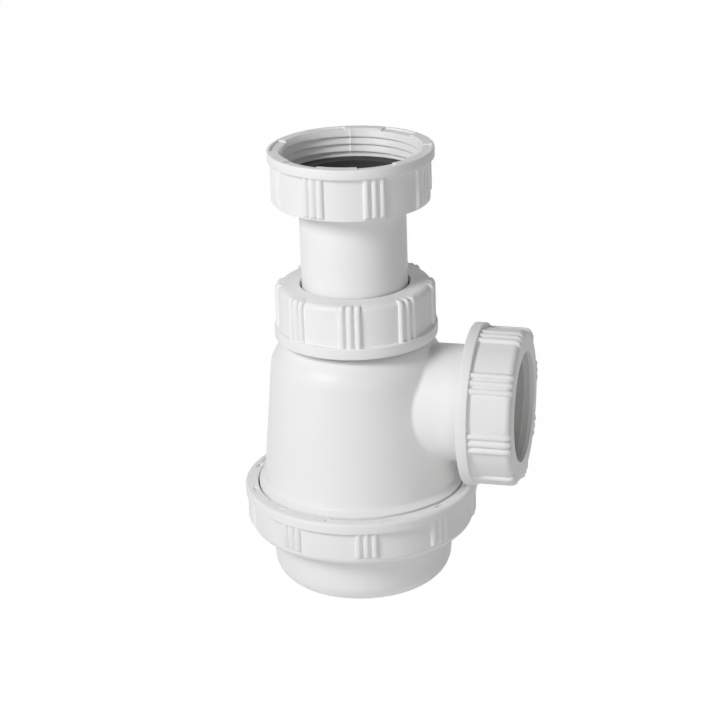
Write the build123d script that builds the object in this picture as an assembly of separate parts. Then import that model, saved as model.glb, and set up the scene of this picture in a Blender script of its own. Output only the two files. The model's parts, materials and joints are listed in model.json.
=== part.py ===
"""Telescopic bottle trap: a threaded inlet, a bell with a dip pipe, a side outlet and a screw-on cleaning cup.

Millimetres, +Z up the bottle's axis, +X out of the outlet, origin at the middle of the cup's flat foot.
"""

from build123d import *
import math
import os

# Pipe, threads and fits
PIPE_R = 16.0             # outside of the inlet tube and of the pipe that the outlet takes
TUBE_WALL = 1.7
TUBE_FIT = 0.5            # room round the pipe in the bottle, the sockets and the slip rings
SEAL_FIT = 0.1            # room round the pipe in a seal
HOLE_FIT = 0.7            # room round the pipe in a nut's hole
NECK_WALL = 2.975         # from a neck's bore out to the root of its thread
THREAD_DEPTH = 1.48       # from that root out to the wall of the nut's own thread
LEAD_IN = 0.55            # bevel at a thread's mouth

# Ribbed nuts
NUT_WALL = 2.3
NUT_HEIGHT = 16.1
NUT_RIM = 3.3             # rim's height
RIM_STEP = 1.45           # how far a rim stands out of its band
NUT_LIP = 1.2             # wall round the nut's hole
NUT_BEVEL = 1.2
RIM_BEVEL = 0.35
RIB_R = 1.05
RIB_RISE = 0.95           # how far a rib stands out of its band
RIB_PITCH = 2.5
RIB_MARGIN = 0.1          # plain band between a rib's slanted tip and the bevel beyond it
RIB_GROUP = 3
NUT_GROUPS = 8

# Inlet nut, tube and washer
INLET_HEIGHT = 15.75
INLET_RIM = 3.05
INLET_LIP = 2.55
FLANGE = 2.0              # thickness of the tube's flange
FLANGE_FIT = 0.2          # room between the flange and the crests of the inlet thread
WASHER = 2.7
WASHER_HOLE = 1.4         # how far the washer's hole stands back from the tube's bore
WASHER_FIT = 0.3          # room round the washer
THREAD_STOP = 0.5         # plain wall above the washer, before the thread starts
TUBE_REACH = 35.95        # top of the flange above the bottle's neck
TUBE_DIP = 35.0           # end of the tube below the bottle's neck

# Rings under the compression nuts
SLIP_RING = 1.9
RING_FIT = 0.65           # room round a slip ring
SEAL_FLANGE = 2.5
SEAL_NOSE = 1.8
SEAL_EDGE = 0.2           # how far a seal's edge stands back from the neck's
NOSE_FIT = 0.1

# Cleaning cup
CUP_DRAFT = 5.2
CUP_ROUND = 7.2
CUP_WALL = 2.2
CUP_DEPTH = 17.4          # underside of the ring above the foot
RING_HEIGHT = 14.35
RING_BEVEL = 1.65         # bevel at the ring's foot
RING_EDGE = 0.6           # and at the top of its rim
RING_RIB_GAP = 2.2        # plain foot of the ring below its ribs
RING_THREAD_DEPTH = 1.5   # from the root of the bottle's skirt out to the wall of the ring's thread
RING_WALL = 2.6
RING_RIM = 3.35
RING_MOUTH = 0.2          # bevel at the ring's mouth
RING_LEDGE = 2.87         # ledge under the base seal, thick
LEDGE_WIDTH = 5.355       # and wide, from the ring's thread wall in
CUP_GROUPS = 9
BASE_SEAL = 2.0
BASE_SEAL_FIT = 0.4       # room round the base seal
BASE_SEAL_WIDTH = 4.2

# Grip pockets in the top faces of the inlet rim and the cup's rim
POCKETS = 6
POCKET_ARC = 29.5
POCKET_DEPTH = 0.5
POCKET_EDGE = 0.9         # wall left outside a pocket on the inlet rim
CUP_POCKET_EDGE = 2.1     # wall left outside a pocket on the cup's rim

# Bottle
ROOF_FLAT = 1.927         # flat of the roof between the neck and the shoulder
ROOF_ROUND = 3.0
SHOULDER_RUN = 4.74       # slope of the shoulder, across
SHOULDER_RISE = 4.5       # and up
SHOULDER_ROUND = 9.4
BELL_DRAFT = 5.35
BELL_WALL = 2.3
BEAD_STEP = 1.7           # how far the bead stands out of the bell's foot
BEAD_PROUD = 0.45         # top of the bead above the cup's rim
BEAD_HEIGHT = 3.2
BEAD_FIT = 0.3            # room between the bead and the cup's thread wall
FLARE_RISE = 1.2          # slope from the bead to the bell
FLARE_ROUND = 1.0
NECK_MARGIN = 1.65        # room between the neck nut and the roof
MOUTH_BEVEL = 1.6         # seat for a seal's nose, across
MOUTH_DEPTH = 2.4         # and deep
DIP_WALL = 1.8
DIP_GAP = 10.0            # end of the dip pipe above the foot
OUTLET_MARGIN = 1.595     # outlet nut's rim above the top of the bead
OUTLET_REACH = 45.9       # end of the outlet's thread from the bottle's axis
ROOF_MARGIN = 1.65        # roof above the spigot
SPIGOT_STEP = 1.25        # how far the plain spigot stands out of its socket's bore
SPIGOT_WALL = 2.75
SPIGOT_BLEND = 1.5        # rounding where the outlet leaves the bell
SOCKET_DEPTH = 9.4
FLARE_RUN = 2.0           # cone from the plain spigot up to the thread's root

# Where the rib groups and pockets stand, in degrees about each piece's own axis
INLET_TURN = -58.8
NECK_TURN = -79.5
OUTLET_TURN = -82.3
CUP_TURN = -73.3
POCKET_TURN = 64.0
CUP_POCKET_TURN = -137.0

# Worked out from the sizes above
BORE_R = PIPE_R + TUBE_FIT
HOLE_R = PIPE_R + HOLE_FIT
DIP_R = BORE_R + DIP_WALL
NECK_ROOT_R = BORE_R + NECK_WALL
THREAD_R = NECK_ROOT_R + THREAD_DEPTH
BAND_R = THREAD_R + NUT_WALL
RIM_R = BAND_R + RIM_STEP
SPIGOT_R = BORE_R + SPIGOT_STEP
STACK = SEAL_FLANGE + SLIP_RING + NUT_LIP
NECK_HEIGHT = NUT_HEIGHT - STACK + NECK_MARGIN

OUTLET_RISE = RIM_R + OUTLET_MARGIN
BELL_HEIGHT = OUTLET_RISE + SPIGOT_R + ROOF_MARGIN
BELL_TAPER = math.tan(math.radians(BELL_DRAFT))
SHOULDER_TILT = math.atan2(SHOULDER_RUN, SHOULDER_RISE)
BELL_TOP_R = NECK_ROOT_R + ROOF_FLAT + SHOULDER_RUN
BELL_FOOT_R = BELL_TOP_R + (BELL_HEIGHT - SHOULDER_RISE) * BELL_TAPER
BEAD_R = BELL_FOOT_R + BEAD_STEP
RING_THREAD_R = BEAD_R + BEAD_FIT
RING_BAND_R = RING_THREAD_R + RING_WALL
RING_RIM_R = RING_BAND_R + RIM_STEP
SKIRT_ROOT_R = RING_THREAD_R - RING_THREAD_DEPTH

RING_TOP = CUP_DEPTH + RING_HEIGHT
LEDGE_Z = CUP_DEPTH + RING_LEDGE
CUP_TAPER = math.tan(math.radians(CUP_DRAFT))
CUP_FOOT_R = RING_THREAD_R - LEDGE_WIDTH + CUP_WALL - LEDGE_Z * CUP_TAPER
SKIRT_Z = LEDGE_Z + BASE_SEAL
BEAD_TOP = RING_TOP + BEAD_PROUD
OUTLET_Z = BEAD_TOP + OUTLET_RISE
ROOF_Z = BEAD_TOP + BELL_HEIGHT
NECK_TOP = ROOF_Z + NECK_HEIGHT
TUBE_TOP = NECK_TOP + TUBE_REACH
WASHER_TOP = TUBE_TOP + WASHER
INLET_Z = TUBE_TOP - FLANGE - INLET_LIP
INLET_TOP = INLET_Z + INLET_HEIGHT
ROOM = 1.0                # how far a cutter runs past the faces that it opens

ON_NECK = Pos(0, 0, NECK_TOP)
ON_OUTLET = Pos(OUTLET_REACH, 0, OUTLET_Z) * Rot(0, 90, 0)


def turned(*corners):
    """Solid of revolution about Z, from corners given as radius, height and an optional rounding."""
    points = [corner[:2] for corner in corners]
    rounds = [corner[2] if len(corner) > 2 else 0 for corner in corners]
    outline = FilletPolyline(*points, radius=rounds, close=True)
    return revolve(Plane.XZ * make_face(outline), Axis.Z)


def ring(inner_r, outer_r, low, high):
    return turned((inner_r, low), (outer_r, low), (outer_r, high), (inner_r, high))


def ribs(band_r, root_z, bevel_z, groups, turn):
    """Half round grip ribs in groups, each from its root at the rim to a slanted tip by the bevel."""
    crest_r = band_r + RIB_RISE
    way = math.copysign(1, bevel_z - root_z)
    tip_z = bevel_z - way * RIB_MARGIN
    length = abs(bevel_z - root_z)
    bar = Pos(crest_r - RIB_R, 0, root_z + way * length / 2) * Cylinder(RIB_R, length)
    slant = Plane(origin=(band_r, 0, tip_z), z_dir=(1, 0, way))
    rib = split(bar, bisect_by=slant, keep=Keep.BOTTOM)
    step = math.degrees(RIB_PITCH / crest_r)
    middle = (RIB_GROUP - 1) / 2
    return [
        Rot(0, 0, turn + group * 360 / groups + (place - middle) * step) * rib
        for group in range(groups)
        for place in range(RIB_GROUP)
    ]


def pockets(inner_r, outer_r, top, turn):
    """Shallow pockets in a rim's top face, open towards its mouth."""
    section = Plane.XZ * make_face(Polyline(
        (inner_r, top - POCKET_DEPTH),
        (outer_r, top - POCKET_DEPTH),
        (outer_r, top + ROOM),
        (inner_r, top + ROOM),
        close=True,
    ))
    pocket = revolve(section, Axis.Z, revolution_arc=POCKET_ARC)
    return [
        Rot(0, 0, turn - POCKET_ARC / 2 + place * 360 / POCKETS) * pocket
        for place in range(POCKETS)
    ]


def compression_nut(turn):
    """Nut for a neck that ends at height 0, with its face up and its rim down."""
    top = STACK
    low = top - NUT_HEIGHT
    body = turned(
        (HOLE_R, top - NUT_LIP),
        (THREAD_R, top - NUT_LIP),
        (THREAD_R, low + LEAD_IN),
        (THREAD_R + LEAD_IN, low),
        (RIM_R - RIM_BEVEL, low),
        (RIM_R, low + RIM_BEVEL),
        (RIM_R, low + NUT_RIM - RIM_BEVEL),
        (RIM_R - RIM_BEVEL, low + NUT_RIM),
        (BAND_R, low + NUT_RIM),
        (BAND_R, top - NUT_BEVEL),
        (BAND_R - NUT_BEVEL, top),
        (HOLE_R, top),
    )
    return body + ribs(BAND_R, low + NUT_RIM, top - NUT_BEVEL, NUT_GROUPS, turn)


def slip_ring():
    """Plain ring between a compression nut and its seal."""
    return ring(BORE_R, THREAD_R - RING_FIT, SEAL_FLANGE, SEAL_FLANGE + SLIP_RING)


def pipe_seal():
    """Seal with a flat flange on the neck's end and a tapered nose in its mouth."""
    inner_r = PIPE_R + SEAL_FIT
    nose_r = BORE_R + MOUTH_BEVEL - NOSE_FIT
    tip_r = nose_r - SEAL_NOSE * MOUTH_BEVEL / MOUTH_DEPTH
    return turned(
        (inner_r, -SEAL_NOSE),
        (tip_r, -SEAL_NOSE),
        (nose_r, 0),
        (NECK_ROOT_R - SEAL_EDGE, 0),
        (NECK_ROOT_R - SEAL_EDGE, SEAL_FLANGE),
        (inner_r, SEAL_FLANGE),
    )


def inlet_nut():
    """Nut that hangs on the tube's flange, with its threaded mouth up."""
    rim_low = INLET_TOP - INLET_RIM
    thread_low = WASHER_TOP + THREAD_STOP
    body = turned(
        (HOLE_R, INLET_Z),
        (BAND_R - RIM_BEVEL, INLET_Z),
        (BAND_R, INLET_Z + RIM_BEVEL),
        (BAND_R, rim_low),
        (RIM_R - RIM_BEVEL, rim_low),
        (RIM_R, rim_low + RIM_BEVEL),
        (RIM_R, INLET_TOP - RIM_BEVEL),
        (RIM_R - RIM_BEVEL, INLET_TOP),
        (THREAD_R + LEAD_IN, INLET_TOP),
        (THREAD_R, INLET_TOP - LEAD_IN),
        (THREAD_R, thread_low),
        (THREAD_R - WASHER_FIT, thread_low),
        (THREAD_R - WASHER_FIT, INLET_Z + INLET_LIP),
        (HOLE_R, INLET_Z + INLET_LIP),
    )
    body = body + ribs(BAND_R, rim_low, INLET_Z + RIM_BEVEL, NUT_GROUPS, INLET_TURN)
    return body - pockets(THREAD_R - LEAD_IN, RIM_R - POCKET_EDGE, INLET_TOP, POCKET_TURN)


def inlet_washer():
    hole_r = PIPE_R - TUBE_WALL + WASHER_HOLE
    return ring(hole_r, THREAD_R - 2 * WASHER_FIT, TUBE_TOP, WASHER_TOP)


def inlet_tube():
    """Plain tube with a flange for the inlet nut and a bevelled lower end."""
    low = NECK_TOP - TUBE_DIP
    inner_r = PIPE_R - TUBE_WALL
    flange_r = NECK_ROOT_R - FLANGE_FIT
    bevel = TUBE_WALL / 2
    return turned(
        (inner_r, low),
        (PIPE_R - bevel, low),
        (PIPE_R, low + bevel),
        (PIPE_R, TUBE_TOP - FLANGE),
        (flange_r, TUBE_TOP - FLANGE),
        (flange_r, TUBE_TOP),
        (inner_r, TUBE_TOP),
    )


def bell_r(height):
    """Outside radius of the bell's cone at a height."""
    return BELL_FOOT_R - (height - BEAD_TOP) * BELL_TAPER


def bottle_body():
    """Bell with a threaded skirt and neck, a side outlet and a dip pipe, moulded in one."""
    flare_z = BEAD_TOP + FLARE_RISE
    bead_z = BEAD_TOP - BEAD_HEIGHT
    shoulder_z = ROOF_Z - SHOULDER_RISE
    # Half a turn keeps the bell's seam on the side away from the outlet.
    outside = Rot(0, 0, 180) * turned(
        (0, SKIRT_Z),
        (SKIRT_ROOT_R, SKIRT_Z),
        (SKIRT_ROOT_R, bead_z),
        (BEAD_R, bead_z),
        (BEAD_R, BEAD_TOP),
        (bell_r(flare_z), flare_z, FLARE_ROUND),
        (BELL_TOP_R, shoulder_z, SHOULDER_ROUND),
        (NECK_ROOT_R + ROOF_FLAT, ROOF_Z, ROOF_ROUND),
        (NECK_ROOT_R, ROOF_Z),
        (NECK_ROOT_R, NECK_TOP),
        (0, NECK_TOP),
    )
    # The outlet is drawn from its threaded end, at height 0, back to the bottle's axis.
    socket_low = -SOCKET_DEPTH
    thread_low = socket_low + FLARE_RUN / 2
    spigot = turned(
        (0, -OUTLET_REACH),
        (SPIGOT_R, -OUTLET_REACH),
        (SPIGOT_R, thread_low - FLARE_RUN),
        (NECK_ROOT_R, thread_low),
        (NECK_ROOT_R, 0),
        (0, 0),
    )
    passage = turned(
        (0, -OUTLET_REACH),
        (SPIGOT_R - SPIGOT_WALL, -OUTLET_REACH),
        (SPIGOT_R - SPIGOT_WALL, socket_low),
        (BORE_R, socket_low),
        (BORE_R, -MOUTH_DEPTH),
        (BORE_R + MOUTH_BEVEL, 0),
        (BORE_R + MOUTH_BEVEL, ROOM),
        (0, ROOM),
    )
    body = outside + ON_OUTLET * spigot
    joint = [edge for edge in body.edges() if edge.geom_type not in (GeomType.CIRCLE, GeomType.LINE)]
    body = fillet(joint, SPIGOT_BLEND)

    roof_low = ROOF_Z - BELL_WALL
    drop = BELL_WALL * math.tan((SHOULDER_TILT - math.radians(BELL_DRAFT)) / 2)
    shift = BELL_WALL * math.tan((math.pi / 2 - SHOULDER_TILT) / 2)
    inside = turned(
        (0, SKIRT_Z - ROOM),
        (bell_r(SKIRT_Z - ROOM) - BELL_WALL, SKIRT_Z - ROOM),
        (bell_r(shoulder_z - drop) - BELL_WALL, shoulder_z - drop, SHOULDER_ROUND - BELL_WALL),
        (NECK_ROOT_R + ROOF_FLAT - shift, roof_low),
        (0, roof_low),
    )
    bore = turned(
        (0, DIP_GAP - ROOM),
        (BORE_R, DIP_GAP - ROOM),
        (BORE_R, NECK_TOP - MOUTH_DEPTH),
        (BORE_R + MOUTH_BEVEL, NECK_TOP),
        (BORE_R + MOUTH_BEVEL, NECK_TOP + ROOM),
        (0, NECK_TOP + ROOM),
    )
    dip_pipe = ring(0, DIP_R, DIP_GAP, ROOF_Z - BELL_WALL / 2)
    return body - inside - ON_OUTLET * passage + dip_pipe - bore


def cup_r(height):
    """Outside radius of the cup's wall at a height."""
    return CUP_FOOT_R + height * CUP_TAPER


def base_cup():
    """Cleaning cup and its threaded, ribbed ring, moulded in one."""
    rim_low = RING_TOP - RING_RIM
    body = turned(
        (0, 0),
        (CUP_FOOT_R, 0, CUP_ROUND),
        (cup_r(CUP_DEPTH), CUP_DEPTH),
        (RING_BAND_R - RING_BEVEL, CUP_DEPTH),
        (RING_BAND_R, CUP_DEPTH + RING_BEVEL),
        (RING_BAND_R, rim_low),
        (RING_RIM_R - RIM_BEVEL, rim_low),
        (RING_RIM_R, rim_low + RIM_BEVEL),
        (RING_RIM_R, RING_TOP - RING_EDGE),
        (RING_RIM_R - RING_EDGE, RING_TOP),
        (RING_THREAD_R + RING_MOUTH, RING_TOP),
        (RING_THREAD_R, RING_TOP - RING_MOUTH),
        (RING_THREAD_R, LEDGE_Z),
        (cup_r(LEDGE_Z) - CUP_WALL, LEDGE_Z),
        (cup_r(CUP_WALL) - CUP_WALL, CUP_WALL, CUP_ROUND - CUP_WALL),
        (0, CUP_WALL),
    )
    body = body + ribs(RING_BAND_R, rim_low, CUP_DEPTH + RING_RIB_GAP, CUP_GROUPS, CUP_TURN)
    return body - pockets(RING_THREAD_R - LEAD_IN, RING_RIM_R - CUP_POCKET_EDGE, RING_TOP, CUP_POCKET_TURN)


def base_seal():
    outer_r = RING_THREAD_R - BASE_SEAL_FIT
    return ring(outer_r - BASE_SEAL_WIDTH, outer_r, LEDGE_Z, SKIRT_Z)


PIECES = {
    "inlet_nut": inlet_nut(),
    "inlet_washer": inlet_washer(),
    "inlet_tube": inlet_tube(),
    "neck_nut": ON_NECK * compression_nut(NECK_TURN),
    "neck_slip_ring": ON_NECK * slip_ring(),
    "neck_seal": ON_NECK * pipe_seal(),
    "bottle_body": bottle_body(),
    "outlet_nut": ON_OUTLET * compression_nut(OUTLET_TURN),
    "outlet_slip_ring": ON_OUTLET * slip_ring(),
    "outlet_seal": ON_OUTLET * pipe_seal(),
    "base_cup": base_cup(),
    "base_seal": base_seal(),
}

os.makedirs("parts", exist_ok=True)
for name, piece in PIECES.items():
    export_step(piece, f"parts/{name}.step")
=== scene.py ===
"""Bottle trap: finishes, moulded nuts and cup, screw threads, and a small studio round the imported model."""

import json
import math

import bmesh
import bpy
from bpy.props import FloatProperty, FloatVectorProperty, IntProperty, PointerProperty
from mathutils import Matrix, Vector


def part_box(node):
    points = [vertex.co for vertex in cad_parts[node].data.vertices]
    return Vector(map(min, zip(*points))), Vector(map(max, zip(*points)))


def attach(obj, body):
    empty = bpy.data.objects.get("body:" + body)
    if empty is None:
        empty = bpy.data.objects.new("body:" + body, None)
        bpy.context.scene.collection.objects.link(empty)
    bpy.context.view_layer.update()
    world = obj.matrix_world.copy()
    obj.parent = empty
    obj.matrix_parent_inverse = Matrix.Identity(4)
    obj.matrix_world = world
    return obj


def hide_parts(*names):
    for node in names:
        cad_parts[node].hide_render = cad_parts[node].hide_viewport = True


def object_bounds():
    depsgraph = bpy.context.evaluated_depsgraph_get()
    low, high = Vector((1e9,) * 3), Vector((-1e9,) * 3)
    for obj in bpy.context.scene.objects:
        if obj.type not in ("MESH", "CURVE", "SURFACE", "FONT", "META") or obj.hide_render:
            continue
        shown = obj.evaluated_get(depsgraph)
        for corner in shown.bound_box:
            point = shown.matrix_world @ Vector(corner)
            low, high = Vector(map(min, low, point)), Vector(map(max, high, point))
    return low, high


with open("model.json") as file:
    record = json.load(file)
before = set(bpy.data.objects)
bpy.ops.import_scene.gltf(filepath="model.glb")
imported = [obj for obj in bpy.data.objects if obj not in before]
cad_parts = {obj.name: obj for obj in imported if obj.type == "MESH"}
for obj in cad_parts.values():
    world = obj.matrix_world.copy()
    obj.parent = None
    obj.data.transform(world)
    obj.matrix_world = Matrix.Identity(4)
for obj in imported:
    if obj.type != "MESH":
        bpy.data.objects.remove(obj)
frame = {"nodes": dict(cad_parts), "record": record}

bl_info = {
    "name": "Bottle Trap",
    "version": (1, 0, 0),
    "blender": (4, 5, 0),
    "location": "View3D > Sidebar > Bottle Trap",
    "description": "Builds the visible pieces of a telescopic bottle trap and its studio",
    "category": "Object",
}

MM = 0.001
SOLID_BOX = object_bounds()

# Points closer than MERGE are one point, and lengths less than NEAR apart count as equal.
MERGE = 1e-7
NEAR = 1e-6
# Points of a thread's turns closer than this are welded.
WELD = 0.01 * MM
# Edges that bend by more than this are shaded as sharp.
SHARP = math.radians(40)
# Width of the camera's sensor in millimetres.
SENSOR = 36

# Middle of a noise's range, and how far each noise moves a surface's roughness.
NOISE_MIDDLE = 0.5
CLOUD_GLOSS = 0.08
GRAIN_GLOSS = 0.06
BLOOM_GLOSS = 0.1
# Share of a moulded surface's tint that the clouds give, while the grain gives the rest.
CLOUD_SHARE = 0.7

# Up a thread's flank: places along it, and the share of the ridge's height there.
FLANK = ((0, 0), (0.12, 0.06), (0.88, 0.94), (1, 1))


def mount(name):
    """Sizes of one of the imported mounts, by name."""
    found = [m for m in frame["record"]["mounts"] if m["name"] == name]
    return found[0]["dims"]


def lead(joint):
    """Pitch of the thread that ties a turning joint to its slide."""
    found = [c for c in frame["record"]["behaviour"]["couplings"] if c["joint"] == joint]
    return math.tau / abs(found[0]["ratio"])


def centre(low, high):
    """Middle of a box."""
    return (low + high) / 2


def half_width(node):
    """Half of a node's size along Y, which is the outer radius of a round one."""
    low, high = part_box(node)
    return (high.y - low.y) / 2


def length(name, description, default):
    """A length that the sidebar shows in scene units."""
    return FloatProperty(name=name, description=description, default=default, precision=5,
                         unit="LENGTH", subtype="DISTANCE")


def point(name, description, default):
    """A place in the scene."""
    return FloatVectorProperty(name=name, description=description, default=default, size=3, unit="LENGTH")


def turn(name, description, degrees):
    """An angle, given in degrees."""
    return FloatProperty(name=name, description=description, default=math.radians(degrees), subtype="ANGLE")


def share(name, description, default):
    """A part of a whole."""
    return FloatProperty(name=name, description=description, default=default, min=0, max=1, subtype="FACTOR")


def strength(name, description, default):
    """A strength of light."""
    return FloatProperty(name=name, description=description, default=default, min=0)


def number(name, description, default):
    """A count of like things."""
    return IntProperty(name=name, description=description, default=default, min=1)


def colour(name, description, default):
    """A colour without alpha."""
    return FloatVectorProperty(name=name, description=description, default=default, min=0, max=1, size=3,
                               subtype="COLOR")


class TrapSizes(bpy.types.PropertyGroup):
    """Sizes of the nuts, the cup and the threads."""

    thread_r: length("Thread wall", "Radius of the nuts' thread wall", mount("inlet_thread")["r_mm"] * MM)
    hole_r: length("Hole", "Radius of the hole in a nut's face", mount("outlet_hole")["r_mm"] * MM)
    nut_pitch: length("Nut pitch", "Pitch of the nuts' threads", lead("neck_nut_turn"))
    cup_pitch: length("Cup pitch", "Pitch of the cup's thread", lead("base_cup_turn"))
    thread_depth: length("Nut thread depth", "From a nut's thread wall to the root of its neck", 1.48 * MM)
    cup_thread_depth: length("Cup thread depth", "From the cup's thread wall to the skirt's root", 1.5 * MM)
    thread_room: length("Thread room", "Play between a ridge and the root that it faces", 0.12 * MM)
    lead_in: length("Lead-in", "Bevel at a thread's mouth", 0.55 * MM)
    crest: share("Thread crest", "Share of a thread's pitch that its crest takes", 0.16)
    root: share("Thread root", "Share of a thread's pitch that its root takes", 0.16)
    thread_steps: IntProperty(name="Thread steps", description="Steps in a turn of thread",
                              default=180, min=24)

    sleeve_root: length("Sleeve root", "How deep an outside thread is seated in its wall", 0.3 * MM)
    sleeve_skin: length("Sleeve skin", "How far an outside thread's root stands out of its wall", 0.02 * MM)
    neck_run: FloatVectorProperty(name="Neck thread", size=2, unit="LENGTH", default=(-7.9 * MM, -0.6 * MM),
                                  description="Ends of the neck's thread, from the neck's end")
    skirt_room: length("Skirt room", "From the base seal up to the skirt's thread", 0.3 * MM)

    inlet_ridge: length("Inlet ridge", "Height of the inlet nut's thread", 0.85 * MM)
    inlet_crest: share("Inlet crest", "Share of the inlet thread's pitch that its crest takes", 0.1)
    inlet_root: share("Inlet root", "Share of the inlet thread's pitch that its root takes", 0.04)
    inlet_lean: share("Inlet lean", "Share of the inlet thread's flanks that the upper one takes", 0.8)
    inlet_phase: length("Inlet thread start", "Height of the inlet thread's start over the rim", 1.25 * MM)
    inlet_stop: length("Inlet thread stop", "From the inlet washer up to the foot of the thread", 0.5 * MM)
    parting_turn: turn("Parting line", "Angle of the line that the mould left in the inlet thread", 104.6)
    parting_rise: length("Parting rise", "Height of the line that the mould left there", 0.2 * MM)

    nut_wall: length("Nut wall", "From a nut's thread wall to its band", 2.3 * MM)
    nut_round: length("Nut rounding", "Rounding between a compression nut's band and its face", 2.0 * MM)
    nut_lip: length("Nut lip", "Wall round the hole of a compression nut", 1.2 * MM)
    nut_rim: length("Nut rim", "Height of a compression nut's rim", 3.3 * MM)
    rim_step: length("Rim step", "How far a rim stands out of its band", 1.45 * MM)
    inlet_lip: length("Inlet lip", "Wall round the inlet nut's hole", 2.55 * MM)
    inlet_rim: length("Inlet rim", "Height of the inlet nut's rim", 3.05 * MM)
    washer_room: length("Washer room", "How far the inlet nut's wall stands in beside its washer", 0.3 * MM)
    edge: length("Edge", "Rounding of a moulded edge", 0.3 * MM)
    gap: turn("Column gap", "Widest step round a plain stretch of wall", 2.5)

    rib_r: length("Rib radius", "Radius of a round grip rib", 1.05 * MM)
    rib_rise: length("Rib rise", "How far a rib stands out of its band", 0.95 * MM)
    rib_groove: length("Rib groove", "Depth and width of the fine groove at a rib's foot", 0.2 * MM)
    rib_pitch: length("Rib pitch", "From rib to rib in a group", 2.5 * MM)
    rib_gap: length("Rib gap", "Plain band below a rib's slanted tip on the cup's ring", 2.45 * MM)
    rib_group: number("Ribs", "Ribs in a group", 3)
    nut_groups: number("Nut groups", "Rib groups round a nut", 8)
    cup_groups: number("Cup groups", "Rib groups round the cup", 9)
    inlet_turn: turn("Inlet ribs", "Angle of the inlet nut's first rib group", -58.8)
    neck_turn: turn("Neck ribs", "Angle of the neck nut's first rib group", -79.5)
    outlet_turn: turn("Outlet ribs", "Angle of the outlet nut's first rib group", -82.3)
    cup_turn: turn("Cup ribs", "Angle of the cup's first rib group", -73.3)

    pockets: number("Pockets", "Grip pockets in a rim's top face", 6)
    pocket_arc: turn("Pocket arc", "Width of a pocket", 29.5)
    pocket_depth: length("Pocket depth", "Depth of a pocket of the inlet rim", 0.5 * MM)
    pocket_draft: length("Pocket draft", "Slope of a pocket's walls, across", 0.12 * MM)
    pocket_edge: length("Inlet pocket edge", "Wall outside a pocket of the inlet rim", 0.9 * MM)
    pocket_turn: turn("Inlet pockets", "Angle of the inlet rim's first pocket", 64)
    cup_pocket_edge: length("Cup pocket edge", "Wall outside a pocket of the cup's rim", 2.1 * MM)
    cup_pocket_depth: length("Cup pocket depth", "Depth of a pocket of the cup's rim", 0.25 * MM)
    cup_pocket_turn: turn("Cup pockets", "Angle of the cup rim's first pocket", -137)
    notch_arc: turn("Notch arc", "Width of the notch at either end of a pocket of the cup's rim", 5.5)
    notch_depth: length("Notch depth", "Depth of such a notch", 0.55 * MM)
    notch_edge: length("Notch edge", "Wall outside such a notch", 1.8 * MM)
    notch_width: length("Notch width", "Size of such a notch across the rim", 1.2 * MM)

    cup_wall: length("Cup wall", "Wall of the cleaning cup", 2.2 * MM)
    cup_draft: turn("Cup draft", "Slope of the cup's wall", 5.2)
    cup_round: length("Cup rounding", "Rounding at the cup's foot", 7.2 * MM)
    cup_depth: length("Cup depth", "Underside of the cup's ring above its foot", 17.4 * MM)
    ring_round: length("Ring rounding", "Rounding at the foot of the cup's ring", 2.4 * MM)
    ring_edge: length("Ring edge", "Rounding at the top of the cup's rim", 1.0 * MM)
    ring_mouth: length("Ring mouth", "Bevel at the mouth of the cup's ring", 0.2 * MM)
    ring_wall: length("Ring wall", "From the cup's thread wall to its band", 2.6 * MM)
    ring_rim: length("Ring rim", "Height of the cup's rim", 3.35 * MM)
    ledge: length("Ledge", "Ledge for the base seal, from the cup's thread wall in", 5.355 * MM)
    bead: length("Bead", "Height of the bottle's bead inside the cup's mouth", 3.2 * MM)


class TrapFinish(bpy.types.PropertyGroup):
    """Colours and surface of the materials."""

    plastic: colour("Plastic", "Colour of the moulded pieces", (0.9, 0.9, 0.895))
    plastic_rough: share("Plastic roughness", "Roughness of the moulded pieces", 0.42)
    plastic_depth: length("Plastic grain depth", "Depth of the moulded pieces' grain", 0.025 * MM)
    slip: colour("Slip ring", "Colour of the slip rings", (0.75, 0.755, 0.74))
    slip_rough: share("Slip ring roughness", "Roughness of the slip rings", 0.3)
    slip_depth: length("Slip ring grain depth", "Depth of the slip rings' grain", 0.008 * MM)
    grain: length("Grain", "Size of the moulded grain", 0.45 * MM)
    clouds: length("Clouds", "Size of the flow clouds in moulded plastic", 9 * MM)

    rubber: colour("Washer rubber", "Colour of the inlet washer", (0.03, 0.03, 0.03))
    rubber_rough: share("Washer roughness", "Roughness of the inlet washer", 0.62)
    seal: colour("Seal rubber", "Colour of the seals", (0.6, 0.6, 0.59))
    seal_rough: share("Seal roughness", "Roughness of the seals", 0.7)
    rubber_grain: length("Rubber grain", "Size of the rubber's grain", 0.35 * MM)
    rubber_depth: length("Rubber grain depth", "Depth of the rubber's grain", 0.03 * MM)
    bloom: length("Bloom", "Size of the faint bloom on rubber", 5 * MM)


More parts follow.
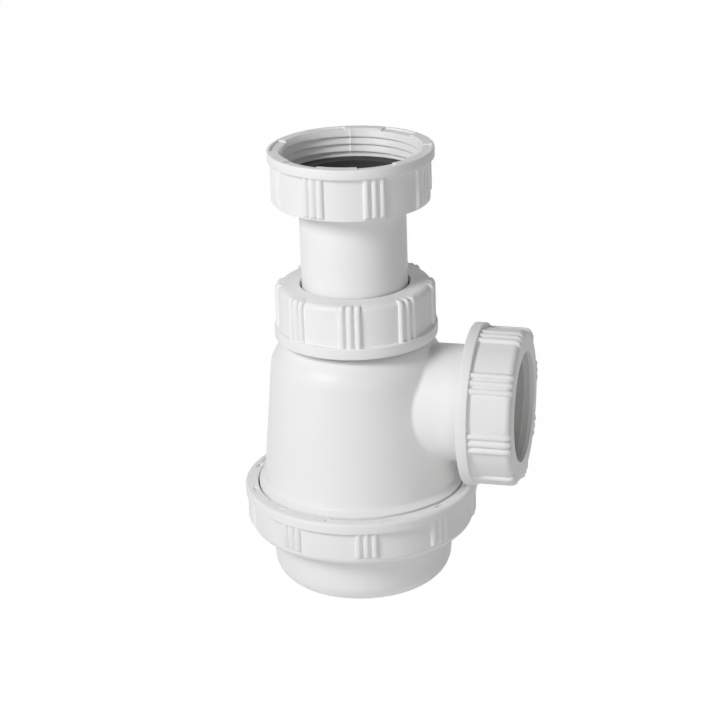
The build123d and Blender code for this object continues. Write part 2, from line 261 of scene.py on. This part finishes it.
class TrapStudio(bpy.types.PropertyGroup):
    """Camera, lights and floor."""

    eye: point("Eye", "Where the camera stands", (157.51 * MM, -580.0 * MM, 303.62 * MM))
    right: FloatVectorProperty(name="Right", description="Direction across the picture", size=3,
                               default=(0.96796, 0.2492, -0.03077))
    up: FloatVectorProperty(name="Up", description="Direction up the picture", size=3,
                            default=(-0.06257, 0.35807, 0.9316))
    lens: FloatProperty(name="Lens", default=105.7,
                        description="Focal length on a 36 mm sensor, in millimetres")
    ambient: strength("Ambient", "Strength of the surrounding light", 0.188)
    key_power: strength("Key", "Power of the key softbox, in watts", 4.12)
    key_size: length("Key size", "Side of the key softbox", 0.28)
    key_place: point("Key place", "Middle of the key softbox", (-0.392, -0.565, 0.556))
    fill_power: strength("Fill", "Power of the fill softbox, in watts", 2.4)
    fill_size: length("Fill size", "Side of the fill softbox", 0.5)
    fill_place: point("Fill place", "Middle of the fill softbox", (0.49, -1.09, 0.131))
    floor_white: share("Floor white", "How much of the floor is plain white paper to the camera", 0.99)
    floor: colour("Floor", "Colour of the floor to other light", (0.9, 0.9, 0.9))
    floor_size: length("Floor size", "Side of the floor", 12.0)
    fibre: length("Paper fibre", "Size of the fibres in the floor's paper", 3 * MM)


class Wire:
    """An output of a node; sums on it add Math nodes to its tree."""

    def __init__(self, tree, socket=None):
        self.tree = tree
        self.socket = socket

    def add(self, kind, feeds=None, output=0, **settings):
        """Adds a node, sets it up, feeds its sockets and returns one of its outputs."""
        node = self.tree.nodes.new(kind)
        for name, value in settings.items():
            setattr(node, name, value)
        for name, value in (feeds or {}).items():
            if isinstance(value, Wire):
                self.tree.links.new(value.socket, node.inputs[name])
            else:
                node.inputs[name].default_value = value
        return Wire(self.tree, node.outputs[output] if len(node.outputs) else None)

    def sum(self, operation, first, second):
        """Adds a Math node that works on two values."""
        return self.add("ShaderNodeMath", {0: first, 1: second}, operation=operation)

    def __add__(self, other):
        return self.sum("ADD", self, other)

    def __radd__(self, other):
        return self.sum("ADD", other, self)

    def __sub__(self, other):
        return self.sum("SUBTRACT", self, other)

    def __rsub__(self, other):
        return self.sum("SUBTRACT", other, self)

    def __mul__(self, other):
        return self.sum("MULTIPLY", self, other)

    def __rmul__(self, other):
        return self.sum("MULTIPLY", other, self)


def new_tree(block):
    """Empties a material's or world's node tree and returns a wire to start from."""
    block.use_nodes = True
    block.node_tree.nodes.clear()
    return Wire(block.node_tree)


def material(name):
    """A new material, and a wire to start its nodes from."""
    made = bpy.data.materials.new(name)
    return made, new_tree(made)


def noise(wire, size, detail=2.0, roughness=0.5):
    """Noise from 0 to 1 with features of the given size."""
    place = wire.add("ShaderNodeTexCoord", output="Object")
    feeds = {"Vector": place, "Scale": 1 / size, "Detail": detail, "Roughness": roughness}
    return wire.add("ShaderNodeTexNoise", feeds, output="Fac")


def tinted(wire, shade, base, spread):
    """Base colour, darker where shade is low and lighter where it is high."""
    dark = (*[c * (1 - spread) for c in base], 1)
    light = (*[min(c * (1 + spread), 1) for c in base], 1)
    return wire.add("ShaderNodeMix", {"Factor": shade, 6: dark, 7: light}, output=2, data_type="RGBA")


def finish_surface(wire, shader):
    """Ends a material's nodes with a shader."""
    wire.add("ShaderNodeOutputMaterial", {"Surface": shader})


def moulded(name, look, base, rough, depth):
    """Satin moulded plastic: a fine grain, faint flow clouds and a slightly uneven gloss."""
    made, wire = material(name)
    clouds = noise(wire, look.clouds, detail=3.0)
    grain = noise(wire, look.grain, detail=3.0, roughness=0.65)
    shade = clouds * CLOUD_SHARE + grain * (1 - CLOUD_SHARE)
    gloss = (clouds - NOISE_MIDDLE) * CLOUD_GLOSS + (grain - NOISE_MIDDLE) * GRAIN_GLOSS
    shader = wire.add("ShaderNodeBsdfPrincipled", {
        "Base Color": tinted(wire, shade, base, spread=0.025),
        "Roughness": rough + gloss,
        "Normal": wire.add("ShaderNodeBump", {"Strength": 0.35, "Distance": depth, "Height": grain}),
        "IOR": 1.49,
        "Specular IOR Level": 0.35,
    })
    finish_surface(wire, shader)
    return made


def rubber(name, look, base, rough, depth):
    """Matt rubber with a fine grain and a faint bloom."""
    made, wire = material(name)
    bloom = noise(wire, look.bloom, detail=4.0)
    grain = noise(wire, look.rubber_grain)
    shader = wire.add("ShaderNodeBsdfPrincipled", {
        "Base Color": tinted(wire, bloom, base, spread=0.25),
        "Roughness": rough + (bloom - NOISE_MIDDLE) * BLOOM_GLOSS,
        "Normal": wire.add("ShaderNodeBump", {"Strength": 0.4, "Distance": depth, "Height": grain}),
    })
    finish_surface(wire, shader)
    return made


def finishes(context):
    """The materials, by slot, made once under names of their own."""
    look = context.scene.trap_finish
    makers = {
        "white_plastic": (moulded, look.plastic, look.plastic_rough, look.plastic_depth),
        "slip_plastic": (moulded, look.slip, look.slip_rough, look.slip_depth),
        "black_rubber": (rubber, look.rubber, look.rubber_rough, look.rubber_depth),
        "seal_rubber": (rubber, look.seal, look.seal_rough, look.rubber_depth),
    }
    made = {}
    for slot, (maker, *settings) in makers.items():
        name = f"{slot}_finish"
        made[slot] = bpy.data.materials.get(name) or maker(name, look, *settings)
    return made


def seen(wire):
    """1 for rays that show the background, straight or by reflection or through glass, and 0 for light."""
    path = wire.add("ShaderNodeLightPath")
    outputs = path.socket.node.outputs
    names = ("Is Camera Ray", "Is Glossy Ray", "Is Transmission Ray")
    rays = [Wire(wire.tree, outputs[name]) for name in names]
    either = wire.sum("MAXIMUM", rays[0], rays[1])
    return wire.sum("MAXIMUM", either, rays[2])


def paper(studio):
    """Floor that shows almost white and still takes the object's shadow."""
    made, wire = material("studio_paper")
    fibres = noise(wire, studio.fibre)
    matt = wire.add("ShaderNodeBsdfDiffuse", {"Color": tinted(wire, fibres, studio.floor, spread=0.01)})
    white = wire.add("ShaderNodeEmission", {"Color": (1, 1, 1, 1), "Strength": 1.0})
    shader = wire.add("ShaderNodeMixShader", {0: seen(wire) * studio.floor_white, 1: matt, 2: white})
    finish_surface(wire, shader)
    return made


def outline(bm, corners, segments=3):
    """Joins corners, given as radius, height and an optional rounding, into a chain in the XZ plane."""
    verts = [bm.verts.new((corner[0], 0, corner[1])) for corner in corners]
    for pair in zip(verts, verts[1:]):
        bm.edges.new(pair)
    for vert, corner in zip(verts, corners):
        if len(corner) > 2:
            bmesh.ops.bevel(bm, geom=[vert], offset=corner[2], offset_type="OFFSET", segments=segments,
                            profile=0.5, affect="VERTICES", material=-1)


def spin(bm, columns):
    """Spins bm's chains through a full turn, and yields each point with the angle of its column."""
    count = len(columns)
    bmesh.ops.spin(bm, geom=bm.verts[:] + bm.edges[:], cent=(0, 0, 0), axis=(0, 0, 1), dvec=(0, 0, 0),
                   angle=math.tau, steps=count, use_merge=True, use_duplicate=False)
    for vert in bm.verts:
        radius = math.hypot(vert.co.x, vert.co.y)
        angle = columns[round(math.atan2(vert.co.y, vert.co.x) / math.tau * count) % count]
        yield vert, angle, radius, vert.co.z


def put(vert, angle, radius, height):
    """Moves a point to a place given round the Z axis."""
    vert.co = (radius * math.cos(angle), radius * math.sin(angle), height)


def swing(first, second):
    """Angle from the second direction to the first, within half a turn either way."""
    return (first - second + math.pi) % math.tau - math.pi


class Ribs:
    """Round grip ribs in groups round a band, with a fine groove on either side of each."""

    FACETS = 8

    def __init__(self, sizes, band_r, groups, first):
        self.r = sizes.rib_r
        self.sunk = sizes.rib_r - sizes.rib_rise
        self.foot = math.sqrt(self.r ** 2 - self.sunk ** 2)
        self.groove = sizes.rib_groove
        self.band_r = band_r
        self.crest_r = band_r + sizes.rib_rise
        step = sizes.rib_pitch / self.crest_r
        places = [place - (sizes.rib_group - 1) / 2 for place in range(sizes.rib_group)]
        self.centres = [first + group * math.tau / groups + place * step
                        for group in range(groups) for place in places]

    def columns(self):
        """Angles that follow each rib's round and the groove on either side of it."""
        lean = math.acos(self.sunk / self.r)
        across = [self.r * math.sin(lean * (2 * facet / self.FACETS - 1))
                  for facet in range(self.FACETS + 1)]
        across += [self.foot + self.groove, -self.foot - self.groove]
        return [middle + off / self.crest_r for middle in self.centres for off in across]

    def lift(self, angle):
        """How far the ribs stand out of the band at an angle, negative in the groove at a rib's foot."""
        off = min(abs(swing(angle, middle)) for middle in self.centres) * self.crest_r
        if abs(off - self.foot) < NEAR:
            return -self.groove
        return max(math.sqrt(max(self.r ** 2 - off ** 2, 0)) - self.sunk, 0)

    def out(self, radius, lift):
        """Radius of a point on the band or beside it, raised with the rib or lowered with the groove."""
        if lift < 0 and radius < self.band_r + MERGE:
            return radius + lift
        return max(radius, self.band_r + lift)

    def slanted(self, tip_z, rim_low):
        """Function that raises ribs which run from a rim down to slanted tips."""

        def raised(radius, height, lift):
            if radius < self.band_r - MERGE or not tip_z <= height <= rim_low + MERGE:
                return radius, height
            return self.out(radius, min(lift, height - tip_z)), height

        return raised


def tip_rows(sizes, band_r, tip_z, rows=5):
    """Points up the band over which the ribs' slanted tips rise."""
    return [(band_r, tip_z + sizes.rib_rise * row / (rows - 1)) for row in range(rows)]


class Recess:
    """A shallow hollow in a rim's top face, round part of a turn and between two radii."""

    def __init__(self, sizes, middle, arc, radii, depth):
        self.middle = middle
        self.half = arc / 2
        self.inner_r, self.outer_r = radii
        self.draft = sizes.pocket_draft
        self.depth = depth

    def columns(self):
        """Angles at the top and the foot of the end walls."""
        slope = self.draft / self.outer_r
        return [self.middle + side * (self.half - tip) for side in (-1, 1) for tip in (0, slope)]

    def drop(self, angle, radius):
        """Depth below the rim at a point."""
        across = self.inner_r + self.draft / 2 < radius < self.outer_r - self.draft / 2
        around = abs(swing(angle, self.middle)) < self.half - self.draft / self.outer_r / 2
        return self.depth if across and around else 0


def pockets(sizes, outer_r, first, depth):
    """Recesses spaced evenly round a rim, open towards its mouth."""
    return [Recess(sizes, first + place * math.tau / sizes.pockets, sizes.pocket_arc, (0, outer_r), depth)
            for place in range(sizes.pockets)]


def notched_pockets(sizes, outer_r, notch_r):
    """Pockets of the cup's rim, with a deeper notch at either end of each."""
    found = pockets(sizes, outer_r, sizes.cup_pocket_turn, sizes.cup_pocket_depth)
    ends = [pocket.middle + side * pocket.half for pocket in found for side in (-1, 1)]
    radii = (notch_r - sizes.notch_width, notch_r)
    return found + [Recess(sizes, end, sizes.notch_arc, radii, sizes.notch_depth) for end in ends]


def sink(bm, recesses, top):
    """Lowers the rim's top face inside the recesses."""
    for vert in bm.verts:
        if vert.co.z > top - MERGE:
            place = math.atan2(vert.co.y, vert.co.x), math.hypot(vert.co.x, vert.co.y)
            vert.co.z -= max(recess.drop(*place) for recess in recesses)


def columns(sizes, shapes):
    """Sorted angles round a full turn: the shapes' own, and even steps over the plain stretches."""
    given = sorted(angle % math.tau for shape in shapes for angle in shape.columns())
    kept = [given[0]]
    for angle in given[1:]:
        if angle - kept[-1] > MERGE:
            kept.append(angle)
    filled = []
    for angle, after in zip(kept, [*kept[1:], kept[0] + math.tau]):
        steps = math.ceil((after - angle) / sizes.gap)
        filled += [angle + (after - angle) * step / steps for step in range(steps)]
    return filled


def ribbed(bm, sizes, ribs, recesses, raised):
    """Spins bm's chains, and moves each point with the ribs' lift at its angle, as raised says."""
    lifts = {}
    for vert, angle, radius, height in spin(bm, columns(sizes, [ribs, *recesses])):
        if angle not in lifts:
            lifts[angle] = ribs.lift(angle)
        put(vert, angle, *raised(radius, height, lifts[angle]))


def thread_form(crest, root, lean=0.5):
    """One pitch of thread, from root to root: places along it, and the share of the ridge's height there."""
    run = 1 - crest - root
    parts = (1 - lean) * run, lean * run
    lower, upper = ([(root / 2 + part * along, height) for along, height in FLANK] for part in parts)
    return [(0, 0), *lower, *((1 - along, height) for along, height in reversed(upper))]


def to_parting(sizes, wall_r, angle):
    """Angle and rise of a thread's point, drawn to the mould's parting line where it lies near it."""
    step = math.tau / sizes.thread_steps
    off = swing(angle, sizes.parting_turn)
    if abs(off) < step / 2:
        return sizes.parting_turn, sizes.parting_rise
    if abs(off) < step * 3 / 2:
        return sizes.parting_turn + math.copysign(sizes.parting_rise * 2 / wall_r, off), 0
    return angle, 0


def thread(sizes, wall_r, ridge, pitch, low, high, phase=0, form=None, parted=False):
    """Helical wall between two heights, with ridges of the given height, negative where they stand in."""
    bm = bmesh.new()
    below = math.floor((low - phase) / pitch) - 1
    laps = math.ceil((high - low) / pitch) + 3
    one_pitch = form or thread_form(sizes.crest, sizes.root)
    outline(bm, [(wall_r + ridge * rise, phase + (below + lap + along) * pitch)
                 for lap in range(laps) for along, rise in one_pitch])
    steps = sizes.thread_steps
    bmesh.ops.spin(bm, geom=bm.verts[:] + bm.edges[:], cent=(0, 0, 0), axis=(0, 0, 1),
                   dvec=(0, 0, pitch / steps), angle=math.tau, steps=steps, use_duplicate=False)
    bmesh.ops.remove_doubles(bm, verts=bm.verts, dist=WELD)
    for end, way in ((high, 1), (low, -1)):
        bmesh.ops.bisect_plane(bm, geom=bm.verts[:] + bm.edges[:] + bm.faces[:], dist=MERGE,
                               plane_co=(0, 0, end), plane_no=(0, 0, way), clear_outer=True)
    for vert in bm.verts:
        angle = math.atan2(vert.co.y, vert.co.x)
        stands = min(abs(math.hypot(vert.co.x, vert.co.y) - wall_r), high - vert.co.z, vert.co.z - low)
        if parted:
            angle, rise = to_parting(sizes, wall_r, angle)
            stands += rise
        put(vert, angle, wall_r + math.copysign(max(stands, 0), ridge), vert.co.z)
    return bm


def join(bm, other):
    """Moves the other bmesh's geometry into bm."""
    mesh = bpy.data.meshes.new("joined")
    other.to_mesh(mesh)
    other.free()
    bm.from_mesh(mesh)
    bpy.data.meshes.remove(mesh)


def close(bm, height):
    """Bridges the open loops above a height, and those below it, and turns all faces outwards."""
    bmesh.ops.remove_doubles(bm, verts=bm.verts, dist=MERGE)
    open_edges = [edge for edge in bm.edges if edge.is_boundary]
    upper = [edge for edge in open_edges if edge.verts[0].co.z > height]
    lower = [edge for edge in open_edges if edge.verts[0].co.z <= height]
    bmesh.ops.scale(bm, vec=Vector.Fill(3, 1 / MM), verts=bm.verts)
    for pair in (upper, lower):
        bmesh.ops.bridge_loops(bm, edges=pair)
    bmesh.ops.scale(bm, vec=Vector.Fill(3, MM), verts=bm.verts)
    bmesh.ops.recalc_face_normals(bm, faces=bm.faces)


def sleeve(sizes, root_r, ridge, pitch, low, high):
    """Outside thread as a thin sleeve, seated in the wall that carries it."""
    bm = thread(sizes, root_r + sizes.sleeve_skin, ridge, pitch, low, high, pitch / 2)
    inner = bmesh.new()
    inner_r = root_r - sizes.sleeve_root
    outline(inner, ((inner_r, low + sizes.sleeve_root), (inner_r, high - sizes.sleeve_root)))
    steps = sizes.thread_steps
    for vert, angle, radius, height in spin(inner, [step * math.tau / steps for step in range(steps)]):
        put(vert, angle, radius, height)
    join(bm, inner)
    close(bm, (low + high) / 2)
    return bm


def piece(bm, name, body, finish, place=None, replaces=None):
    """Makes a finished object of bm on a body, with a material, in place of a node where one is named."""
    if place is not None:
        bmesh.ops.transform(bm, matrix=place, verts=bm.verts)
    mesh = bpy.data.meshes.new(name)
    bm.to_mesh(mesh)
    bm.free()
    mesh.shade_smooth()
    mesh.set_sharp_from_angle(angle=SHARP)
    made = bpy.data.objects.new(name, mesh)
    bpy.context.scene.collection.objects.link(made)
    mesh.materials.append(finish)
    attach(made, body)
    if replaces:
        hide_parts(replaces)
    return made


def paint(node, finish):
    """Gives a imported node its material."""
    mesh = frame["nodes"][node].data
    mesh.materials.clear()
    mesh.materials.append(finish)


def neck_end():
    """Place of the bottle's neck end, facing up."""
    return Matrix.Translation((0, 0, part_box("bottle_body")[1].z))


def outlet_end():
    """Place of the outlet's end, facing out along X."""
    spot = Vector((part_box("bottle_body")[1].x, 0, centre(*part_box("outlet_nut")).z))
    return Matrix.Translation(spot) @ Matrix.Rotation(math.radians(90), 4, "Y")


def ring_radii(sizes):
    """Radii of the rim, the band and the thread wall of the cup's ring."""
    rim_r = half_width("base_cup")
    band_r = rim_r - sizes.rim_step
    return rim_r, band_r, band_r - sizes.ring_wall


def compression_nut(sizes, first):
    """Nut for a neck that ends at height 0, with its face up and its rim down."""
    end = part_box("bottle_body")[1].z
    low, face_z = (corner.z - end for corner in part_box("neck_nut"))
    band_r = sizes.thread_r + sizes.nut_wall
    rim_r = band_r + sizes.rim_step
    rim_z = low + sizes.nut_rim
    thread_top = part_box("neck_slip_ring")[0].z - end - sizes.lead_in
    bm = bmesh.new()
    outline(bm, (
        (sizes.thread_r, face_z - sizes.nut_lip),
        (sizes.hole_r, face_z - sizes.nut_lip),
        (sizes.hole_r, face_z, sizes.edge / 2),
        (band_r, face_z, sizes.nut_round),
        (band_r, rim_z, sizes.edge / 2),
        (rim_r, rim_z, sizes.edge),
        (rim_r, low, sizes.edge),
        (sizes.thread_r + sizes.lead_in, low),
    ), segments=6)
    ribs = Ribs(sizes, band_r, sizes.nut_groups, first)
    core = Vector((band_r - sizes.nut_round, face_z - sizes.nut_round))

    def raised(radius, height, lift):
        """Ribs run up the band and over its rounding, and end flush with the face."""
        if radius < core.x + NEAR or height < rim_z - MERGE:
            return radius, height
        if height <= core.y:
            return ribs.out(radius, lift), height
        out = (Vector((radius, height)) - core).normalized() * lift
        return radius + out.x, min(height + out.y, face_z)

    ribbed(bm, sizes, ribs, (), raised)
    join(bm, thread(sizes, sizes.thread_r, sizes.thread_room - sizes.thread_depth, sizes.nut_pitch,
                    low + sizes.lead_in, thread_top))
    close(bm, low / 2)
    return bm


def inlet_nut(sizes):
    """Nut in its place on the inlet, with its open thread and rim up."""
    low, top = (corner.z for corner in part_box("inlet_nut"))
    band_r = sizes.thread_r + sizes.nut_wall
    rim_r = half_width("inlet_nut")
    pocket_r = rim_r - sizes.pocket_edge
    rim_low = top - sizes.inlet_rim
    tip_z = low + sizes.edge
    wall_r = sizes.thread_r - sizes.washer_room
    thread_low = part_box("inlet_washer")[1].z + sizes.inlet_stop
    bm = bmesh.new()
    outline(bm, (
        (wall_r, thread_low - sizes.washer_room),
        (wall_r, low + sizes.inlet_lip),
        (sizes.hole_r, low + sizes.inlet_lip),
        (sizes.hole_r, low, sizes.edge / 2),
        (band_r, low, sizes.edge / 2),
        *tip_rows(sizes, band_r, tip_z),
        (band_r, rim_low, sizes.edge / 2),
        (rim_r, rim_low, sizes.edge),
        (rim_r, top, sizes.edge),
        (pocket_r, top),
        (pocket_r - sizes.pocket_draft, top),
        (sizes.thread_r + sizes.lead_in, top),
    ))
    ribs = Ribs(sizes, band_r, sizes.nut_groups, sizes.inlet_turn)
    recesses = pockets(sizes, pocket_r, sizes.pocket_turn, sizes.pocket_depth)
    ribbed(bm, sizes, ribs, recesses, ribs.slanted(tip_z, rim_low))
    sink(bm, recesses, top)
    form = thread_form(sizes.inlet_crest, sizes.inlet_root, sizes.inlet_lean)
    join(bm, thread(sizes, sizes.thread_r, -sizes.inlet_ridge, sizes.nut_pitch, thread_low,
                    top - sizes.lead_in, top + sizes.inlet_phase, form, parted=True))
    close(bm, (thread_low + top) / 2)
    return bm


def cleaning_cup(sizes):
    """Cup in its place on the bottle, on its foot at height 0, with a ribbed ring and an inside thread."""
    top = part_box("base_cup")[1].z
    rim_r, band_r, thread_r = ring_radii(sizes)
    pocket_r = rim_r - sizes.cup_pocket_edge
    notch_r = rim_r - sizes.notch_edge
    rim_low = top - sizes.ring_rim
    tip_z = sizes.cup_depth + sizes.rib_gap
    ledge_z, seal_z = (corner.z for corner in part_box("base_seal"))
    taper = math.tan(sizes.cup_draft)
    foot_r = thread_r - sizes.ledge + sizes.cup_wall - ledge_z * taper
    inside_r = foot_r - sizes.cup_wall
    tangent = math.tan((math.pi / 2 - sizes.cup_draft) / 2)
    bm = bmesh.new()
    outline(bm, (
        (thread_r, ledge_z),
        (inside_r + ledge_z * taper, ledge_z),
        (inside_r + sizes.cup_wall * taper, sizes.cup_wall, (sizes.cup_round - sizes.cup_wall) * tangent),
        (0, sizes.cup_wall),
    ), segments=8)
    outline(bm, (
        (0, 0),
        (foot_r, 0, sizes.cup_round * tangent),
        (foot_r + sizes.cup_depth * taper, sizes.cup_depth, sizes.edge),
        (band_r, sizes.cup_depth, sizes.ring_round),
        *tip_rows(sizes, band_r, tip_z),
        (band_r, rim_low, sizes.edge / 2),
        (rim_r, rim_low, sizes.edge),
        (rim_r, top, sizes.ring_edge),
        (notch_r, top),
        (notch_r - sizes.pocket_draft, top),
        (pocket_r, top),
        (pocket_r - sizes.pocket_draft, top),
        (notch_r - sizes.notch_width + sizes.pocket_draft, top),
        (notch_r - sizes.notch_width, top),
        (thread_r + sizes.ring_mouth, top),
    ), segments=8)
    ribs = Ribs(sizes, band_r, sizes.cup_groups, sizes.cup_turn)
    recesses = notched_pockets(sizes, pocket_r, notch_r)
    ribbed(bm, sizes, ribs, recesses, ribs.slanted(tip_z, rim_low))
    sink(bm, recesses, top)
    join(bm, thread(sizes, thread_r, sizes.thread_room - sizes.cup_thread_depth, sizes.cup_pitch,
                    seal_z, top - sizes.bead))
    close(bm, (ledge_z + top) / 2)
    return bm


class TRAP_OT_bottle(bpy.types.Operator):
    """Finishes the bottle and adds the threads on its neck, outlet and skirt"""

    bl_idname = "trap.bottle"
    bl_label = "Bottle"

    def execute(self, context):
        sizes = context.scene.trap_sizes
        white = finishes(context)["white_plastic"]
        paint("bottle_body", white)
        neck_r = sizes.thread_r - sizes.thread_depth
        ridge = sizes.thread_depth - sizes.thread_room
        for name, place in (("neck_thread", neck_end()), ("outlet_thread", outlet_end())):
            bm = sleeve(sizes, neck_r, ridge, sizes.nut_pitch, *sizes.neck_run)
            piece(bm, name, "bottle", white, place)
        skirt_r = ring_radii(sizes)[2] - sizes.cup_thread_depth
        ridge = sizes.cup_thread_depth - sizes.thread_room
        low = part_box("base_seal")[1].z + sizes.skirt_room
        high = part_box("base_cup")[1].z - sizes.bead
        bm = sleeve(sizes, skirt_r, ridge, sizes.cup_pitch, low, high)
        piece(bm, "skirt_thread", "bottle", white)
        return {"FINISHED"}


class TRAP_OT_tube(bpy.types.Operator):
    """Finishes the inlet tube and its washer"""

    bl_idname = "trap.tube"
    bl_label = "Tube and Washer"

    def execute(self, context):
        made = finishes(context)
        paint("inlet_tube", made["white_plastic"])
        paint("inlet_washer", made["black_rubber"])
        return {"FINISHED"}


class TRAP_OT_seals(bpy.types.Operator):
    """Finishes the slip rings and the seals"""

    bl_idname = "trap.seals"
    bl_label = "Rings and Seals"

    def execute(self, context):
        made = finishes(context)
        for node in ("neck_slip_ring", "outlet_slip_ring"):
            paint(node, made["slip_plastic"])
        for node in ("neck_seal", "outlet_seal", "base_seal"):
            paint(node, made["seal_rubber"])
        return {"FINISHED"}


class TRAP_OT_compression_nuts(bpy.types.Operator):
    """Makes the ribbed nuts on the neck and on the outlet"""

    bl_idname = "trap.compression_nuts"
    bl_label = "Compression Nuts"

    def execute(self, context):
        sizes = context.scene.trap_sizes
        white = finishes(context)["white_plastic"]
        for node, first, place in (("neck_nut", sizes.neck_turn, neck_end()),
                                   ("outlet_nut", sizes.outlet_turn, outlet_end())):
            bm = compression_nut(sizes, first)
            piece(bm, f"{node}_moulding", node, white, place, replaces=node)
        return {"FINISHED"}


class TRAP_OT_inlet_nut(bpy.types.Operator):
    """Makes the ribbed inlet nut with its open thread and the pockets in its rim"""

    bl_idname = "trap.inlet_nut"
    bl_label = "Inlet Nut"

    def execute(self, context):
        bm = inlet_nut(context.scene.trap_sizes)
        white = finishes(context)["white_plastic"]
        piece(bm, "inlet_nut_moulding", "inlet_nut", white, replaces="inlet_nut")
        return {"FINISHED"}


class TRAP_OT_cleaning_cup(bpy.types.Operator):
    """Makes the cleaning cup with its ribbed ring and inside thread"""

    bl_idname = "trap.cleaning_cup"
    bl_label = "Cleaning Cup"

    def execute(self, context):
        bm = cleaning_cup(context.scene.trap_sizes)
        white = finishes(context)["white_plastic"]
        piece(bm, "base_cup_moulding", "base_cup", white, replaces="base_cup")
        return {"FINISHED"}


class TRAP_OT_stage(bpy.types.Operator):
    """Sets up the floor, the surrounding light, the softboxes and the camera"""

    bl_idname = "trap.stage"
    bl_label = "Studio"

    def execute(self, context):
        scene = context.scene
        studio = scene.trap_studio
        scene.view_settings.view_transform = "Standard"
        self.floor(scene, studio)
        self.surround(scene, studio)
        self.softbox(scene, "key_softbox", studio.key_power, studio.key_size, studio.key_place)
        self.softbox(scene, "fill_softbox", studio.fill_power, studio.fill_size, studio.fill_place)
        self.camera(scene, studio)
        return {"FINISHED"}

    def floor(self, scene, studio):
        """Lays a square of paper under the object."""
        bm = bmesh.new()
        bmesh.ops.create_grid(bm, x_segments=1, y_segments=1, size=studio.floor_size / 2)
        mesh = bpy.data.meshes.new("studio_floor")
        bm.to_mesh(mesh)
        bm.free()
        made = bpy.data.objects.new("studio_floor", mesh)
        mesh.materials.append(paper(studio))
        scene.collection.objects.link(made)

    def surround(self, scene, studio):
        """Lights the object softly from all round, with a white background."""
        world = bpy.data.worlds.new("studio_surround")
        scene.world = world
        wire = new_tree(world)
        level = studio.ambient + seen(wire) * (1 - studio.ambient)
        light = wire.add("ShaderNodeBackground", {"Color": (1, 1, 1, 1), "Strength": level})
        wire.add("ShaderNodeOutputWorld", {"Surface": light})

    def softbox(self, scene, name, power, size, place):
        """Hangs a square lamp that faces the object's middle."""
        lamp = bpy.data.lights.new(name, "AREA")
        lamp.energy = power
        lamp.size = size
        made = bpy.data.objects.new(name, lamp)
        scene.collection.objects.link(made)
        made.location = place
        aim = centre(*SOLID_BOX) - made.location
        made.rotation_euler = aim.to_track_quat("-Z", "Y").to_euler()

    def camera(self, scene, studio):
        """Stands the camera where the photograph was taken from."""
        lens = bpy.data.cameras.new("photo_camera")
        lens.sensor_width = SENSOR
        lens.lens = studio.lens
        lens.clip_start = 0.01
        made = bpy.data.objects.new("photo_camera", lens)
        scene.collection.objects.link(made)
        right = Vector(studio.right).normalized()
        back = right.cross(Vector(studio.up)).normalized()
        turned = Matrix((right, back.cross(right), back)).transposed()
        made.matrix_world = Matrix.Translation(studio.eye) @ turned.to_4x4()
        scene.camera = made


class TRAP_PT_panel(bpy.types.Panel):
    """Lists the trap's steps and settings"""

    bl_idname = "TRAP_PT_panel"
    bl_label = "Bottle Trap"
    bl_space_type = "VIEW_3D"
    bl_region_type = "UI"
    bl_category = "Bottle Trap"

    def draw(self, context):
        for step in STEPS:
            self.layout.operator(step.bl_idname)
        for group in SETTINGS:
            box = self.layout.box()
            settings = getattr(context.scene, group)
            for name in settings.__annotations__:
                box.prop(settings, name)


STEPS = (
    TRAP_OT_bottle,
    TRAP_OT_tube,
    TRAP_OT_seals,
    TRAP_OT_compression_nuts,
    TRAP_OT_inlet_nut,
    TRAP_OT_cleaning_cup,
    TRAP_OT_stage,
)
SETTINGS = {"trap_sizes": TrapSizes, "trap_finish": TrapFinish, "trap_studio": TrapStudio}
CLASSES = (*SETTINGS.values(), *STEPS, TRAP_PT_panel)


def register():
    for part in CLASSES:
        bpy.utils.register_class(part)
    for name, group in SETTINGS.items():
        setattr(bpy.types.Scene, name, PointerProperty(type=group))


def unregister():
    for name in SETTINGS:
        delattr(bpy.types.Scene, name)
    for part in reversed(CLASSES):
        bpy.utils.unregister_class(part)


def main():
    """Builds everything in order."""
    register()
    for step in STEPS:
        group, name = step.bl_idname.split(".")
        getattr(getattr(bpy.ops, group), name)()


if __name__ == "__main__":
    main()
